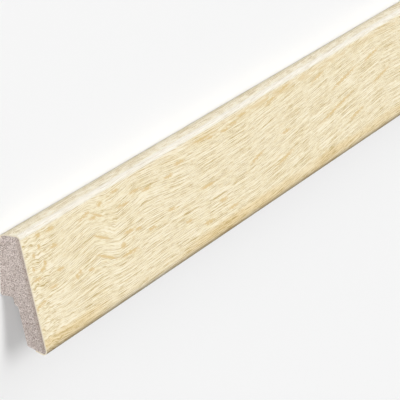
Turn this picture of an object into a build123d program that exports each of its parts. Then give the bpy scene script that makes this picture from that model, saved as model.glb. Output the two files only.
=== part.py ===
from build123d import *
import os
from math import cos, radians, sin, tan

# Skirting board: a low wall-and-floor trim, one length of stock.
# A milled fibreboard moulding with a wood-decor foil wrapped over the faces that show.
# Millimetres. X runs along the board, Y is its height with the top edge at +Y,
# Z is its depth away from the wall, which is the plane Z = 0.

# overall size, measured over the foil
board_length = 2400.0
board_height = 38.0
board_depth = 16.0

# the front face and the foot
front_lean = 14.0
toe_radius = 0.8
bottom_undercut = 20.0
heel_radius = 0.5

# the top edge
top_crown = 0.1
top_front_radius = 1.2
top_back_radius = 1.5

# the wall block, left standing above the rebate
wall_block_height = 20.0
block_corner_radius = 1.0

# the rebate for the fixing clips and the cables, with the slanting leg in front of it
leg_thickness = 5.9
shoulder_rise = 1.0
shoulder_height = 2.4
shoulder_bevel = 35.0
rebate_corner_radius = 0.4

# the foil and where its two edges stop
foil_thickness = 0.4
foil_wall_gap = 0.12
foil_bottom_lap = 2.5

# reach of the outline that trims the foil, well outside the section
trim_reach = board_height

# heights and depths that follow from the sizes above
lean = radians(front_lean)
undercut = radians(bottom_undercut)
bevel = radians(shoulder_bevel)
core_top = board_height / 2 - foil_thickness
core_top_edge = core_top - top_crown
block_underside = board_height / 2 - wall_block_height
toe_centre_y = -board_height / 2 + toe_radius + foil_thickness
toe_centre_z = board_depth - toe_radius - foil_thickness


def depth_behind_front(height, thickness):
    """Depth from the wall of a plane parallel to the front face, a thickness behind it."""
    front = toe_centre_z + toe_radius / cos(lean) - (height - toe_centre_y) * tan(lean)
    return front - thickness / cos(lean)


def height_of_bottom(depth):
    """Height of the undercut bottom face at a depth from the wall."""
    return toe_centre_y - toe_radius / cos(undercut) + (toe_centre_z - depth) * tan(undercut)


def meet_bottom(thickness):
    """Point where a plane parallel to the front face meets the undercut bottom."""
    level = height_of_bottom(0.0)
    depth_at_zero = depth_behind_front(0.0, thickness)
    depth = (depth_at_zero - level * tan(lean)) / (1 - tan(undercut) * tan(lean))
    return (height_of_bottom(depth), depth)


def rebate_points():
    """Outline of the rebate, from the heel up the leg to the back of the wall block."""
    shoulder = leg_thickness + shoulder_rise
    jog_y = block_underside - shoulder_height
    jog_z = depth_behind_front(jog_y, shoulder)
    # the bevel runs down from the jog until it meets the back of the leg
    behind = depth_behind_front(jog_y, leg_thickness) - jog_z
    run = behind / (1 - tan(bevel) * tan(lean))
    leg_top = (jog_y - run * tan(bevel), jog_z + run)
    return [
        meet_bottom(leg_thickness),
        leg_top,
        (jog_y, jog_z),
        (block_underside, depth_behind_front(block_underside, shoulder)),
        (block_underside, 0.0),
    ]


def rounded(face, point, radius):
    """The face with its corner at a point rounded off."""
    corner = face.vertices().sort_by_distance(Vector(point[0], point[1], 0))[0]
    return fillet(corner, radius)


def core_outline():
    """Cross-section of the milled fibreboard, height across and depth up."""
    back_top = (core_top_edge, 0.0)
    front_top = (core_top_edge, depth_behind_front(core_top_edge, 0.0))
    crown = (core_top, front_top[1] / 2)
    toe = meet_bottom(0.0)
    heel, leg_top, jog, rebate_corner, block_corner = rebate_points()
    top = ThreePointArc(back_top, crown, front_top)
    rest = Polyline(
        front_top, toe, heel, leg_top, jog, rebate_corner, block_corner, back_top
    )
    face = make_face(Curve() + [top, rest])
    face = rounded(face, back_top, top_back_radius)
    face = rounded(face, front_top, top_front_radius)
    face = rounded(face, toe, toe_radius)
    face = rounded(face, heel, heel_radius)
    face = rounded(face, rebate_corner, rebate_corner_radius)
    face = rounded(face, block_corner, block_corner_radius)
    return face


def foil_outline(core):
    """Cross-section of the foil: over the top, down the front and round the toe."""
    skin = offset(core, foil_thickness) - core
    # the lap ends square to the bottom face, a short way behind the toe
    lap_y = toe_centre_y + foil_bottom_lap * sin(undercut)
    lap_z = toe_centre_z - foil_bottom_lap * cos(undercut)
    lap_end = (lap_y - trim_reach * cos(undercut), lap_z - trim_reach * sin(undercut))
    inside = (block_underside, depth_behind_front(block_underside, leg_thickness / 2))
    kept = Polyline(
        (core_top / 2, foil_wall_gap),
        (trim_reach, foil_wall_gap),
        (trim_reach, trim_reach),
        (-trim_reach, trim_reach),
        lap_end,
        (lap_y, lap_z),
        inside,
        close=True,
    )
    return skin & make_face(kept)


def along_board(outline):
    """The section carried along the whole length, its middle at X = 0."""
    return extrude(Plane.YZ * outline, amount=board_length / 2, both=True)


section = core_outline()
mdf_core = along_board(section)
decor_foil = along_board(foil_outline(section))

os.makedirs("parts", exist_ok=True)
export_step(mdf_core, "parts/mdf_core.step")
export_step(decor_foil, "parts/decor_foil.step")
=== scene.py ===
from math import cos, radians, sin, sqrt, tan

import bmesh
import bpy
import numpy as np
from mathutils import Matrix, Vector


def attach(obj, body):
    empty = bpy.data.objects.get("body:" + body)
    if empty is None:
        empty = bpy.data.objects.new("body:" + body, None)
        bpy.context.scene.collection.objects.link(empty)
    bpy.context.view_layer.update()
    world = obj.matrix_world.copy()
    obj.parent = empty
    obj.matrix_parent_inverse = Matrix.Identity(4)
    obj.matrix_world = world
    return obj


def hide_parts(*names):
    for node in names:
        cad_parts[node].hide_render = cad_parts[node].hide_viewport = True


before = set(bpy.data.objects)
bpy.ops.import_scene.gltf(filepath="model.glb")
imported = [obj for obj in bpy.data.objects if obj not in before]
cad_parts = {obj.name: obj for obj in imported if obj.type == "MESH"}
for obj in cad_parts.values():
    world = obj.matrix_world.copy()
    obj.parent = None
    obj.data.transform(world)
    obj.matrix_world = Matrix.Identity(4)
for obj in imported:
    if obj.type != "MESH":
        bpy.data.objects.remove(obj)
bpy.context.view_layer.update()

# The board: one length of fibreboard, milled to the section and sawn square at both ends.
# It is bare on its back, in the rebate and on the ends, where the saw tore out fine fibres.
# The section is drawn in millimetres as (height, depth from the wall).
LENGTH, HEIGHT, DEPTH = 2400.0, 38.0, 16.0
LEAN, UNDERCUT, BEVEL = radians(14.0), radians(20.0), radians(35.0)
TOE_R, HEEL_R, BLOCK_R, REBATE_R = 0.8, 0.5, 1.0, 0.4
TOP_FRONT_R, TOP_BACK_R, CROWN = 1.2, 1.5, 0.1
BLOCK_HEIGHT, LEG, SHOULDER_RISE, SHOULDER_HEIGHT = 20.0, 5.9, 1.0, 2.4
FOIL, LAP = 0.4, 2.5
# points over a sawn end, down it and across it, and how deep the saw tore it
TALL, WIDE = 360, 72
ROUGH_DEPTH, PIT_DEPTH = 0.03, 0.16


def facing(angle):
    """Unit vector (height, depth) of an angle counted from straight up towards the room."""
    return np.stack([np.cos(angle), np.sin(angle)], -1)


def bow(centre, radius, start, end, steps):
    """Arc: centre plus radius times the facing vector, from one angle to another."""
    return np.asarray(centre) + radius * facing(np.linspace(start, end, steps))


def run(a, b, steps):
    """Straight line from a to b."""
    t = np.linspace(0, 1, steps)[:, None]
    return (1 - t) * np.asarray(a) + t * np.asarray(b)


def joined(*parts):
    """Several lines end to end, each shared point kept once."""
    return np.concatenate([p[:-1] for p in parts[:-1]] + [parts[-1]])


def front_depth(height, behind):
    """Depth of a plane parallel to the front face, some way behind it."""
    return toe_c[1] + (TOE_R - behind) / cos(LEAN) - (height - toe_c[0]) * tan(LEAN)


front_way, bottom_way = np.pi / 2 - LEAN, np.pi + UNDERCUT
back_way, wall_way = front_way + np.pi, 1.5 * np.pi
up_front = np.array([cos(LEAN), -sin(LEAN)])
toe_c = np.array([-HEIGHT / 2 + TOE_R + FOIL, DEPTH - TOE_R - FOIL])

# the top is a shallow arc, and the roundings on both sides of it touch it from inside
top_y = HEIGHT / 2 - FOIL
half_top = front_depth(top_y - CROWN, 0) / 2
crown_r = (half_top ** 2 + CROWN ** 2) / (2 * CROWN)
crown_c = np.array([top_y - crown_r, half_top])
rise = sqrt((crown_r - TOP_BACK_R) ** 2 - (half_top - TOP_BACK_R) ** 2)
back_c = np.array([crown_c[0] + rise, TOP_BACK_R])
low_c = toe_c + (TOE_R - TOP_FRONT_R) * facing(front_way)
abreast = (crown_c - low_c) @ up_front
left_over = (crown_r - TOP_FRONT_R) ** 2 - ((crown_c - low_c) ** 2).sum()
front_c = low_c + up_front * (abreast + sqrt(abreast ** 2 + left_over))
crown_back = np.arctan2(back_c[1] - crown_c[1], back_c[0] - crown_c[0])
crown_front = np.arctan2(front_c[1] - crown_c[1], front_c[0] - crown_c[0])

# the rebate, from the underside of the wall block down to the heel
under_y = HEIGHT / 2 - BLOCK_HEIGHT
shoulder = LEG + SHOULDER_RISE
jog_y = under_y - SHOULDER_HEIGHT
jog = np.array([jog_y, front_depth(jog_y, shoulder)])
step = (front_depth(jog_y, LEG) - jog[1]) / (1 - tan(BEVEL) * tan(LEAN))
leg_top = jog + step * np.array([-tan(BEVEL), 1.0])
rebate_y = under_y - REBATE_R
rebate_c = np.array([rebate_y, front_depth(rebate_y, shoulder) - REBATE_R / cos(LEAN)])
heel_c = toe_c + (TOE_R - LEG + HEEL_R) * facing(front_way)
sink = ((heel_c - toe_c) @ facing(bottom_way) - TOE_R + HEEL_R) / (up_front @ facing(bottom_way))
heel_c = heel_c - up_front * sink
lap_end = toe_c + TOE_R * facing(bottom_way) + LAP * np.array([sin(UNDERCUT), -cos(UNDERCUT)])


def covered(out, back_end):
    """The line under the foil, from its lap round the toe, up the front and over the top."""
    return joined(
        run(lap_end + out * facing(bottom_way), toe_c + (TOE_R + out) * facing(bottom_way), 5),
        bow(toe_c, TOE_R + out, bottom_way, front_way, 25),
        run(
            toe_c + (TOE_R + out) * facing(front_way),
            front_c + (TOP_FRONT_R + out) * facing(front_way),
            80,
        ),
        bow(front_c, TOP_FRONT_R + out, front_way, crown_front, 21),
        bow(crown_c, crown_r + out, crown_front, crown_back, 16),
        bow(back_c, TOP_BACK_R + out, crown_back, back_end, 15),
    )


# the bare line, down the wall block, round the rebate and under the foot to the foil's lap
bare = joined(
    run(back_c - [0, TOP_BACK_R], [under_y + BLOCK_R, 0], 60),
    bow([under_y + BLOCK_R, BLOCK_R], BLOCK_R, wall_way, np.pi, 15),
    run([under_y, BLOCK_R], rebate_c + REBATE_R * facing(0), 14),
    bow(rebate_c, REBATE_R, 0, front_way, 9),
    run(rebate_c + REBATE_R * facing(front_way), jog, 10),
    run(jog, leg_top, 8),
    run(leg_top, heel_c + HEEL_R * facing(back_way), 44),
    bow(heel_c, HEEL_R, back_way, bottom_way, 9),
    run(heel_c + HEEL_R * facing(bottom_way), lap_end, 12),
)


def resampled(line, count):
    """The same line with evenly spaced points."""
    far = np.append(0, np.cumsum(np.linalg.norm(np.diff(line, axis=0), axis=1)))
    at = np.linspace(0, far[-1], count)
    return np.stack([np.interp(at, far, line[:, k]) for k in (0, 1)], 1)


def grid(rows, columns, start=0, closed=False):
    """Quads of points numbered row by row; closed joins the last column to the first."""
    r, c = np.meshgrid(np.arange(rows - 1), np.arange(columns - (not closed)), indexing="ij")
    after = (c + 1) % columns
    q = [r * columns + c, r * columns + after, (r + 1) * columns + after, (r + 1) * columns + c]
    return np.stack(q, -1).reshape(-1, 4) + start


def built(name, points, quads):
    """A smooth-shaded closed object; points that meet are merged and faces turned outwards."""
    mesh = bpy.data.meshes.new(name)
    mesh.from_pydata(points.tolist(), [], quads.tolist())
    shell = bmesh.new()
    shell.from_mesh(mesh)
    bmesh.ops.remove_doubles(shell, verts=shell.verts, dist=1e-7)
    bmesh.ops.recalc_face_normals(shell, faces=shell.faces)
    shell.to_mesh(mesh)
    shell.free()
    mesh.shade_smooth()
    mesh.set_sharp_from_angle(angle=radians(28))
    made = bpy.data.objects.new(name, mesh)
    bpy.context.collection.objects.link(made)
    return made


def hashed(i, j, seed):
    """A fixed pseudo-random number from 0 to 1 for every whole-number place."""
    h = np.sin(i * 127.1 + j * 311.7 + seed * 74.7) * 43758.5453
    return h - np.floor(h)


def lumps(y, z, cell, seed):
    """Smooth random height from 0 to 1: hashed corner values of a square lattice, blended."""
    a, b = y / cell, z / cell
    i, j = np.floor(a), np.floor(b)
    s, t = a - i, b - j
    s, t = s * s * (3 - 2 * s), t * t * (3 - 2 * t)
    low = hashed(i, j, seed) * (1 - s) + hashed(i + 1, j, seed) * s
    high = hashed(i, j + 1, seed) * (1 - s) + hashed(i + 1, j + 1, seed) * s
    return low * (1 - t) + high * t


# the sawn ends are ruled surfaces between the back and the front halves of the outline
ring = np.concatenate([bare[:-1], covered(0, -np.pi / 2)[:-1]])
top_i = int(np.argmin(((ring - [top_y, half_top]) ** 2).sum(1)))
ring = np.roll(ring, -top_i, axis=0)
bottom_mid = (toe_c + TOE_R * facing(bottom_way) + heel_c + HEEL_R * facing(bottom_way)) / 2
foot_i = int(np.argmin(((ring - bottom_mid) ** 2).sum(1)))
back_half = resampled(ring[: foot_i + 1], TALL)
front_half = resampled(np.concatenate([ring[foot_i:], ring[:1]])[::-1], TALL)
across = np.linspace(0, 1, WIDE)[None, :, None]
face = (1 - across) * back_half[:, None] + across * front_half[:, None]
fy, fz = face[..., 0], face[..., 1]

# the torn fibres: two sizes of lumps and a few deeper pits, all fading out at the edges
lower, over = np.linspace(0, 1, TALL)[:, None], across[..., 0]
inside = np.minimum(60 * np.minimum(lower, 1 - lower), 40 * np.minimum(over, 1 - over))
torn = ROUGH_DEPTH * (lumps(fy, fz, 0.55, 1) + lumps(fy, fz, 0.28, 2))
torn = torn + PIT_DEPTH * np.clip(lumps(fy, fz, 0.42, 3) - 0.86, 0, 1) / 0.14
torn = torn * np.clip(inside, 0, 1)

outline = np.concatenate([back_half, front_half[::-1][1:-1]])
points, quads = [], [grid(2, len(outline), closed=True)]
for x in (-LENGTH / 2, LENGTH / 2):
    points.append(np.column_stack([np.full(len(outline), x), outline]))
for side in (-1, 1):
    x = side * (LENGTH / 2 - torn)
    quads.append(grid(TALL, WIDE, sum(map(len, points))))
    points.append(np.stack([x, fy, fz], -1).reshape(-1, 3))
board = built("fibreboard_moulding", np.concatenate(points) / 1000, np.concatenate(quads))


def linear(red, green, blue):
    """Linear colour of a colour as it is seen, each part from 0 to 255."""
    c = np.array([red, green, blue]) / 255
    return tuple(np.where(c < 0.04045, c / 12.92, ((c + 0.055) / 1.055) ** 2.4)) + (1.0,)


def node(tree, kind, feeds, out=0, **settings):
    """One new shader node; a feed is another node's output or a plain value."""
    made = tree.nodes.new("ShaderNode" + kind)
    for name, value in settings.items():
        setattr(made, name, value)
    for place, value in feeds.items():
        if isinstance(value, bpy.types.NodeSocket):
            tree.links.new(value, made.inputs[place])
        else:
            made.inputs[place].default_value = value
    return made.outputs[out]


def maths(tree, how, a, b=0.0, c=0.0):
    """Arithmetic on up to three numbers."""
    return node(tree, "Math", {0: a, 1: b, 2: c}, operation=how)


def between(tree, value, low, high, start=0.0, end=1.0):
    """A smooth step of value from low to high."""
    feeds = {"Value": value, "From Min": low, "From Max": high, "To Min": start, "To Max": end}
    return node(tree, "MapRange", feeds, interpolation_type="SMOOTHSTEP")


def mixed(tree, much, one, other, how="MIX"):
    """Two colours mixed."""
    return node(tree, "Mix", {0: much, 6: one, 7: other}, out=2, data_type="RGBA", blend_type=how)


def scaled(tree, vector, *by):
    """A vector with each part multiplied."""
    return node(tree, "VectorMath", {0: vector, 1: by}, operation="MULTIPLY")


def noise(tree, vector, detail=2.0, rough=0.5, shape="3D"):
    """Smooth random number around one half, one lump per unit of the vector."""
    feeds = {"Vector": vector, "Scale": 1.0, "Detail": detail, "Roughness": rough}
    return node(tree, "TexNoise", feeds, noise_dimensions=shape)


def graded(tree, value, stops):
    """A colour scale: pairs of a place from 0 to 1 and a colour."""
    made = tree.nodes.new("ShaderNodeValToRGB")
    ramp = made.color_ramp
    while len(ramp.elements) < len(stops):
        ramp.elements.new(0.5)
    for element, (place, colour) in zip(ramp.elements, stops):
        element.position = place
        element.color = colour
    tree.links.new(value, made.inputs[0])
    return made.outputs[0]


def surface(name):
    """A material with its node tree and its main shader."""
    made = bpy.data.materials.new(name)
    made.use_nodes = True
    return made, made.node_tree, made.node_tree.nodes["Principled BSDF"]


fibre, t, shader = surface("fibreboard")
place = node(t, "TexCoord", {}, out=3)
mm = scaled(t, place, 1000, 1000, 1000)
# the fibres lie along the board, so the speckle is drawn out that way
drawn_out = scaled(t, mm, 0.36, 1, 1)
along = node(t, "SeparateXYZ", {0: mm})
sawn = between(t, maths(t, "ABSOLUTE", along), LENGTH / 2 - 0.6, LENGTH / 2 - 0.4)
fine = noise(t, scaled(t, drawn_out, 3.7, 3.7, 3.7), 1.0, 0.5)
coarse = noise(t, scaled(t, drawn_out, 0.9, 0.9, 0.9), 2.0, 0.5)
tone = maths(t, "MULTIPLY_ADD", fine, 2.6, -0.87)
tone = maths(t, "MULTIPLY_ADD", coarse, 0.2, tone)
# the milled faces are smoother and more even than the sawn ends
tone = node(t, "Mix", {0: sawn, 2: maths(t, "MULTIPLY_ADD", tone, 0.4, 0.26), 3: tone})
colour = graded(t, tone, [
    (0.0, linear(138, 122, 114)),
    (0.25, linear(176, 161, 153)),
    (0.5, linear(200, 187, 180)),
    (0.75, linear(218, 206, 200)),
    (1.0, linear(240, 229, 223)),
])
# the pressed skin just behind the front is darker, and the leg is darker than the block
front_is = (0, sin(LEAN), cos(LEAN))
behind = node(t, "VectorMath", {0: mm, 1: front_is}, out=1, operation="DOT_PRODUCT")
reach = float(toe_c @ facing(front_way) + TOE_R)
dense = between(t, behind, reach - 1.9, reach - 0.4)
colour = mixed(t, maths(t, "MULTIPLY", dense, 0.42), colour, linear(162, 145, 130))
height = node(t, "SeparateXYZ", {0: mm}, out=1)
low_down = between(t, height, 14, -12, 0.0, 0.4)
colour = mixed(t, low_down, colour, (0.78, 0.77, 0.77, 1), "MULTIPLY")
pits = node(t, "TexVoronoi", {"Vector": drawn_out, "Scale": 0.6})
pit = between(t, pits, 0.14, 0.06)
showing = maths(t, "MULTIPLY", pit, maths(t, "MULTIPLY_ADD", sawn, 0.5, 0.2))
colour = mixed(t, showing, colour, linear(112, 98, 92))
t.links.new(colour, shader.inputs["Base Color"])
shader.inputs["Roughness"].default_value = 0.85
shader.inputs["Specular IOR Level"].default_value = 0.25
bump = node(t, "Bump", {"Height": fine, "Distance": 0.00006, "Strength": 0.5})
t.links.new(bump, shader.inputs["Normal"])
board.data.materials.append(fibre)

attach(board, "root")
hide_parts("mdf_core")

# The foil: a printed paper skin in pale limed oak, satin lacquered, with pressed pores.
# It is glued on in one pass, over the top edge, down the front, round the toe and a little
# way under the foot, and sawn off with the board.
WALL_GAP = 0.12
outer = covered(FOIL, np.arcsin((WALL_GAP - TOP_BACK_R) / (TOP_BACK_R + FOIL)))
inner = covered(0.0, np.arcsin((WALL_GAP - TOP_BACK_R) / TOP_BACK_R))
girth = np.append(0, np.cumsum(np.linalg.norm(np.diff(outer, axis=0), axis=1)))
girth = girth[-1] - girth
loop = np.concatenate([outer, inner[::-1]])
loop_girth = np.concatenate([girth, girth[::-1]])
points, quads, maps = [], [grid(2, len(loop), closed=True)], []
for x in (-LENGTH / 2, LENGTH / 2):
    points.append(np.column_stack([np.full(len(loop), x), loop]))
    maps.append(np.column_stack([np.full(len(loop), x + LENGTH / 2), loop_girth]))
# the cut edge at each end joins the outer line to the inner one
n = len(outer)
for start in (0, len(loop)):
    k = np.arange(n - 1)
    quads.append(np.stack([k, k + 1, 2 * n - 2 - k, 2 * n - 1 - k], 1) + start)
foil = built("wood_decor_foil", np.concatenate(points) / 1000, np.concatenate(quads))
laid_out = foil.data.attributes.new("along_and_round", "FLOAT_VECTOR", "POINT")
flat = np.column_stack([np.concatenate(maps), np.zeros(2 * len(loop))])
laid_out.data.foreach_set("vector", flat.ravel())

decor, t, shader = surface("decor")
mm = node(t, "Attribute", {}, out=1, attribute_name="along_and_round")
parts = t.nodes.new("ShaderNodeSeparateXYZ")
t.links.new(mm, parts.inputs[0])
u, v = parts.outputs[0], parts.outputs[1]
# the arches and the tan streaks come again every 800 mm, and the fine grain runs on
REPEAT, REPEAT_FROM = 800.0, -300.0
print_u = maths(t, "WRAP", u, REPEAT + REPEAT_FROM, REPEAT_FROM)


def times(a, b):
    """One number times another."""
    return maths(t, "MULTIPLY", a, b)


def lumpy(where, along, round_it, detail=1.0):
    """Flat noise whose lumps have one length along the board and another round it."""
    return noise(t, scaled(t, where, 1 / along, 1 / round_it, 1), detail, 0.5, "2D")


def hump(value, centre, before, after):
    """A bell of height 1: e to minus the square of the distance over a length, one each side."""
    off = maths(t, "SUBTRACT", value, centre)
    rising = maths(t, "DIVIDE", maths(t, "MINIMUM", off, 0), before)
    falling = maths(t, "DIVIDE", maths(t, "MAXIMUM", off, 0), after)
    both = maths(t, "ADD", times(rising, rising), times(falling, falling))
    return maths(t, "EXPONENT", times(both, -1))


def crest(value, foot_before, peak, foot_after, high):
    """A crest: a straight climb to the peak and a straight fall, softened where they meet."""
    up = node(t, "MapRange", {"Value": value, "From Min": foot_before, "From Max": peak})
    fall = node(t, "MapRange", {"Value": value, "From Min": foot_after, "From Max": peak})
    return times(maths(t, "SMOOTH_MIN", up, fall, 0.25), high)


def streaks(where, slope, wide, places):
    """Soft ovals of one slope and half width, at places of (along, round, half length)."""
    drawn = 0.0
    for along, round_it, half in places:
        off = node(t, "VectorMath", {0: where, 1: (along, round_it, 0)}, operation="SUBTRACT")
        ways = (1 / half, 0, 0), (-slope / wide, 1 / wide, 0)
        a, b = (node(t, "VectorMath", {0: off, 1: w}, out=1, operation="DOT_PRODUCT") for w in ways)
        far = maths(t, "MULTIPLY_ADD", a, a, times(b, b))
        drawn = maths(t, "MAXIMUM", between(t, far, 1.0, 0.1), drawn)
    return drawn


# the grain climbs slowly to a crest, drops off behind it, does so again, and climbs further on
drift = lumpy(mm, 30, 7)
loose_u = maths(t, "MULTIPLY_ADD", drift, 14, maths(t, "SUBTRACT", print_u, 7))
arch = times(crest(loose_u, 6, 46.5, 64, 4.0), hump(v, 20, 14, 12))
second = times(crest(loose_u, 60, 86, 125, 2.6), hump(v, 14, 12, 14))
slope = crest(print_u, 175, 310, 500, 9.0)

# the figure is curly at the near end, and a little so behind the arch, where it is fainter
behind_arch = times(hump(print_u, 58, 8, 10), hump(v, 15, 10, 11))
curly = maths(t, "MULTIPLY_ADD", behind_arch, 0.6, hump(print_u, 2, 14, 14))
sway, curl = lumpy(mm, 90, 18), lumpy(mm, 5, 3)
bent = maths(t, "ADD", maths(t, "ADD", v, arch), maths(t, "ADD", second, slope))
bent = maths(t, "MULTIPLY_ADD", sway, 2.0, bent)
bent = maths(t, "MULTIPLY_ADD", times(curl, curly), 1.8, bent)
grain = node(t, "CombineXYZ", {0: u, 1: bent, 2: 0.0})

# long pores, short pores, faint threads, broad bands and short curly marks make the tone
lines, dashes, threads = lumpy(grain, 26, 0.15), lumpy(grain, 6, 0.14), lumpy(grain, 12, 0.45)
bands, short = lumpy(grain, 24, 2.6, 2.0), lumpy(grain, 3.2, 0.9)
tone = maths(t, "MULTIPLY_ADD", between(t, lines, 0.35, 0.58), 0.85, -0.33)
tone = maths(t, "MULTIPLY_ADD", between(t, dashes, 0.35, 0.58), 0.6, tone)
tone = maths(t, "MULTIPLY_ADD", between(t, threads, 0.36, 0.64), 0.07, tone)
tone = node(t, "Mix", {0: times(behind_arch, 0.45), 2: tone, 3: 0.62})
tone = maths(t, "MULTIPLY_ADD", maths(t, "SUBTRACT", bands, 0.5), 0.15, tone)
tone = maths(t, "MULTIPLY_ADD", times(maths(t, "SUBTRACT", short, 0.5), curly), 1.6, tone)

# the part of the print that lies over the top edge is patchy
over_top = times(between(t, v, 1.8, 3.5), between(t, v, 6.8, 5.9))
patches = maths(t, "SUBTRACT", lumpy(mm, 6, 1.6), 0.5)
tone = maths(t, "MULTIPLY_ADD", times(patches, over_top), 1.5, tone)
colour = graded(t, tone, [
    (0.0, linear(198, 173, 116)),
    (0.25, linear(225, 206, 160)),
    (0.5, linear(241, 228, 192)),
    (0.75, linear(248, 237, 208)),
    (1.0, linear(251, 242, 219)),
])

# tan streaks: lying along the grain, falling behind the arch, climbing further on, and blots
ragged = maths(t, "MULTIPLY_ADD", lumpy(mm, 1.6, 0.35), 1.6, -0.8)
ragged_u = maths(t, "MULTIPLY_ADD", ragged, 1.5, print_u)
where = node(t, "CombineXYZ", {0: ragged_u, 1: maths(t, "ADD", ragged, v)})
lying = streaks(where, 0.02, 0.75, [
    (11.6, 9.3, 2.5), (20, 9.7, 4), (20, 15.2, 3.5), (5, 22, 3.5), (21, 23, 3.5), (14, 26.9, 3.5),
    (40.6, 29, 2.5), (49.4, 14, 3.5), (68, 9.8, 4), (72, 15.6, 6), (82, 13.4, 6), (91, 15, 5),
    (109, 15.4, 5), (72, 24.7, 5), (79, 25.7, 3.5), (89, 28.4, 4), (106, 26.2, 4), (70, 31.4, 9),
    (119, 13.1, 6), (140, 10, 10), (160, 11.5, 5), (147, 11, 4), (168, 11, 5), (177, 9.7, 6),
    (137, 26, 8), (117, 33.5, 4), (147, 33.7, 5), (132, 37.8, 6), (154, 38, 6), (211, 24.4, 6),
])
blots = streaks(where, 0.0, 1.2, [
    (30.6, 28.4, 1.6), (66, 28, 2.8), (56, 11, 2.5), (6, 14.5, 1.4), (10.5, 13, 1.4),
    (4, 18.5, 1.2), (12, 18.6, 1.6), (33, 27.6, 1.5),
])
falling = streaks(where, 0.36, 0.7, [(52.5, 21.4, 7), (53, 28.2, 9), (53, 14.0, 5)])
climbing = streaks(where, -0.12, 0.75, [
    (3, 30, 6), (10, 20, 3), (44, 11.9, 6), (204, 10.9, 9), (217, 9.5, 10), (182, 27, 9),
    (206, 33, 12), (262, 27.2, 24), (274, 18.6, 18), (279, 33.8, 11), (250, 12.5, 9),
    (306, 16.2, 12), (311, 25.6, 13),
])
flecks = between(t, lumpy(grain, 6, 0.7), 0.66, 0.8, 0.0, 0.5)
# further along the board the streaks crowd just below the top rounding
crowded = times(hump(v, 9.5, 0.9, 1.6), between(t, lumpy(mm, 9, 1.3), 0.34, 0.6))
crowded = times(crowded, crest(print_u, 85, 200, 420, 0.8))
tan_streaks = lying
for more in (falling, climbing, blots, flecks, crowded):
    tan_streaks = maths(t, "MAXIMUM", tan_streaks, more)
colour = mixed(t, times(tan_streaks, 0.86), colour, linear(223, 196, 138))

# a tan run in the print comes and goes along the foot, and painted shade darkens the foil where it
# turns under the toe
runs = maths(t, "MAXIMUM", hump(print_u, 12, 30, 36), crest(print_u, 85, 150, 500, 1.0))
runs = maths(t, "ADD", between(t, lumpy(mm, 45, 5), 0.3, 0.65, -0.3, 0.3), runs)
tan_run = times(between(t, v, 39.8, 41.4), runs)
colour = mixed(t, tan_run, colour, (0.93, 0.86, 0.72, 1), "MULTIPLY")
# painted shade: the colour is multiplied darker over the last millimetres round the toe
painted_foot_shade = graded(t, maths(t, "MULTIPLY_ADD", v, 0.2, -8.2), [
    (0.0, (1, 1, 1, 1)),
    (0.35, (0.96, 0.94, 0.90, 1)),
    (0.55, (0.82, 0.80, 0.77, 1)),
    (0.66, (0.60, 0.58, 0.56, 1)),
    (0.76, (0.42, 0.41, 0.40, 1)),
    (1.0, (0.38, 0.37, 0.36, 1)),
])
colour = mixed(t, 1.0, colour, painted_foot_shade, "MULTIPLY")

# painted light over the top edge: painted shade greys it towards the wall, a painted sheen pales
# the flat, and a painted highlight is palest on the rounding
edge_v = maths(t, "DIVIDE", v, 10)
painted_edge_light = graded(t, edge_v, [
    (0.1, linear(186, 181, 167)),
    (0.3, linear(240, 234, 218)),
    (0.5, linear(255, 252, 240)),
    (0.65, linear(234, 233, 232)),
    (0.77, linear(242, 242, 242)),
])
painted_edge_light_amount = graded(t, edge_v, [
    (0.1, (0.4, 0.4, 0.4, 1)),
    (0.28, (0.08, 0.08, 0.08, 1)),
    (0.5, (0.2, 0.2, 0.2, 1)),
    (0.62, (0.55, 0.55, 0.55, 1)),
    (0.76, (0.45, 0.45, 0.45, 1)),
    (0.81, (0, 0, 0, 1)),
])
# the painted shade, sheen and highlight are mixed into the print here
colour = mixed(t, painted_edge_light_amount, colour, painted_edge_light)
# painted sheen: a little bluish white is added over the flat of the top edge
colour = mixed(t, over_top, colour, (0.08, 0.085, 0.095, 1), "ADD")

# the foil's own cut edge at the two ends is plain cream, and its pores are a little duller
across_x = node(t, "SeparateXYZ", {0: node(t, "TexCoord", {}, out=3)})
cut = maths(t, "GREATER_THAN", maths(t, "ABSOLUTE", across_x), LENGTH / 2000 - 1e-5)
colour = mixed(t, cut, colour, linear(236, 225, 202))
t.links.new(colour, shader.inputs["Base Color"])
rough = between(t, lines, 0.3, 0.7, 0.64, 0.56)
t.links.new(rough, shader.inputs["Roughness"])
shader.inputs["Specular IOR Level"].default_value = 0.35
bump = node(t, "Bump", {"Height": lines, "Distance": 0.00002, "Strength": 0.3})
t.links.new(bump, shader.inputs["Normal"])
foil.data.materials.append(decor)

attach(foil, "root")
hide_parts("decor_foil")

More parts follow.
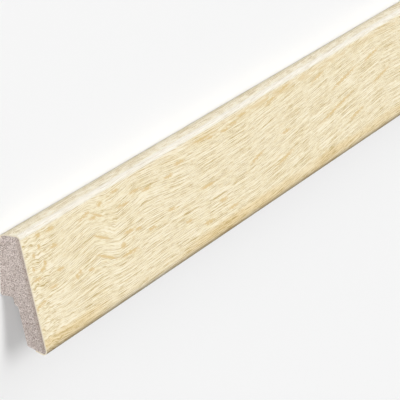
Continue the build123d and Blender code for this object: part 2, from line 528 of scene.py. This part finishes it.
# The floor it lies on: plain and pale, and large enough to fill the picture. The camera sees
# it a little paler than it is, which throws no more light on the board.
floor_mesh = bpy.data.meshes.new("floor")
floor_mesh.from_pydata([(-9, -9, 0), (9, -9, 0), (9, 9, 0), (-9, 9, 0)], [], [(0, 1, 2, 3)])
floor = bpy.data.objects.new("floor", floor_mesh)
bpy.context.collection.objects.link(floor)
white, t, shader = surface("floor")
shader.inputs["Base Color"].default_value = (0.7, 0.7, 0.7, 1)
shader.inputs["Roughness"].default_value = 0.9
shader.inputs["Specular IOR Level"].default_value = 0.0
shader.inputs["Emission Color"].default_value = (1, 1, 1, 1)
seen = node(t, "LightPath", {})
t.links.new(maths(t, "MULTIPLY", seen, 0.255), shader.inputs["Emission Strength"])
floor_mesh.materials.append(white)

# The light: an even sky, which the camera sees paler than it shines, and three broad soft
# lamps: from above, from the near end onto the sawn face, and low from the far end across
# the top edge, so that its rounding shines.
world = bpy.data.worlds.new("sky")
world.use_nodes = True
world.node_tree.nodes["Background"].inputs[0].default_value = (1, 1, 1, 1)
seen = node(world.node_tree, "LightPath", {})
pale = maths(world.node_tree, "MULTIPLY_ADD", seen, 0.68, 0.2)
world.node_tree.links.new(pale, world.node_tree.nodes["Background"].inputs[1])
bpy.context.scene.world = world
for name, way, power, spread in (
    ("overhead", (-0.25, 0.32, 0.92), 1.59, 35),
    ("onto_the_end", (-0.9, 0.05, 0.42), 1.27, 30),
    ("far_end", (0.78, 0.58, 0.22), 1.6, 50),
):
    sun = bpy.data.lights.new(name, "SUN")
    sun.energy = power
    sun.angle = radians(spread)
    lamp = bpy.data.objects.new(name, sun)
    lamp.matrix_world = Vector(way).to_track_quat("Z", "Y").to_matrix().to_4x4()
    bpy.context.collection.objects.link(lamp)

# The camera: a long lens that stands beyond the near end and looks along the board, onto its
# sawn face, its front and its top edge. It is rolled over, so that the board, which lies on
# its back, stands in the picture as it does against a wall.
SEAT = Vector((-LENGTH / 2 - 850.58, 307.94, 436.69)) / 1000
ASIDE, DOWNWARD, ROLL = radians(-17.610), radians(22.445), radians(97.037)
ahead = Vector((cos(DOWNWARD) * cos(ASIDE), cos(DOWNWARD) * sin(ASIDE), -sin(DOWNWARD)))
level = ahead.to_track_quat("-Z", "Y").to_matrix().to_4x4()
camera = bpy.data.objects.new("camera", bpy.data.cameras.new("camera"))
camera.data.lens = 288.0
camera.data.sensor_width = 36.0
camera.data.clip_end = 60.0
camera.matrix_world = Matrix.Translation(SEAT) @ level @ Matrix.Rotation(ROLL, 4, "Z")
bpy.context.collection.objects.link(camera)
bpy.context.scene.camera = camera
bpy.context.scene.view_settings.view_transform = "Standard"
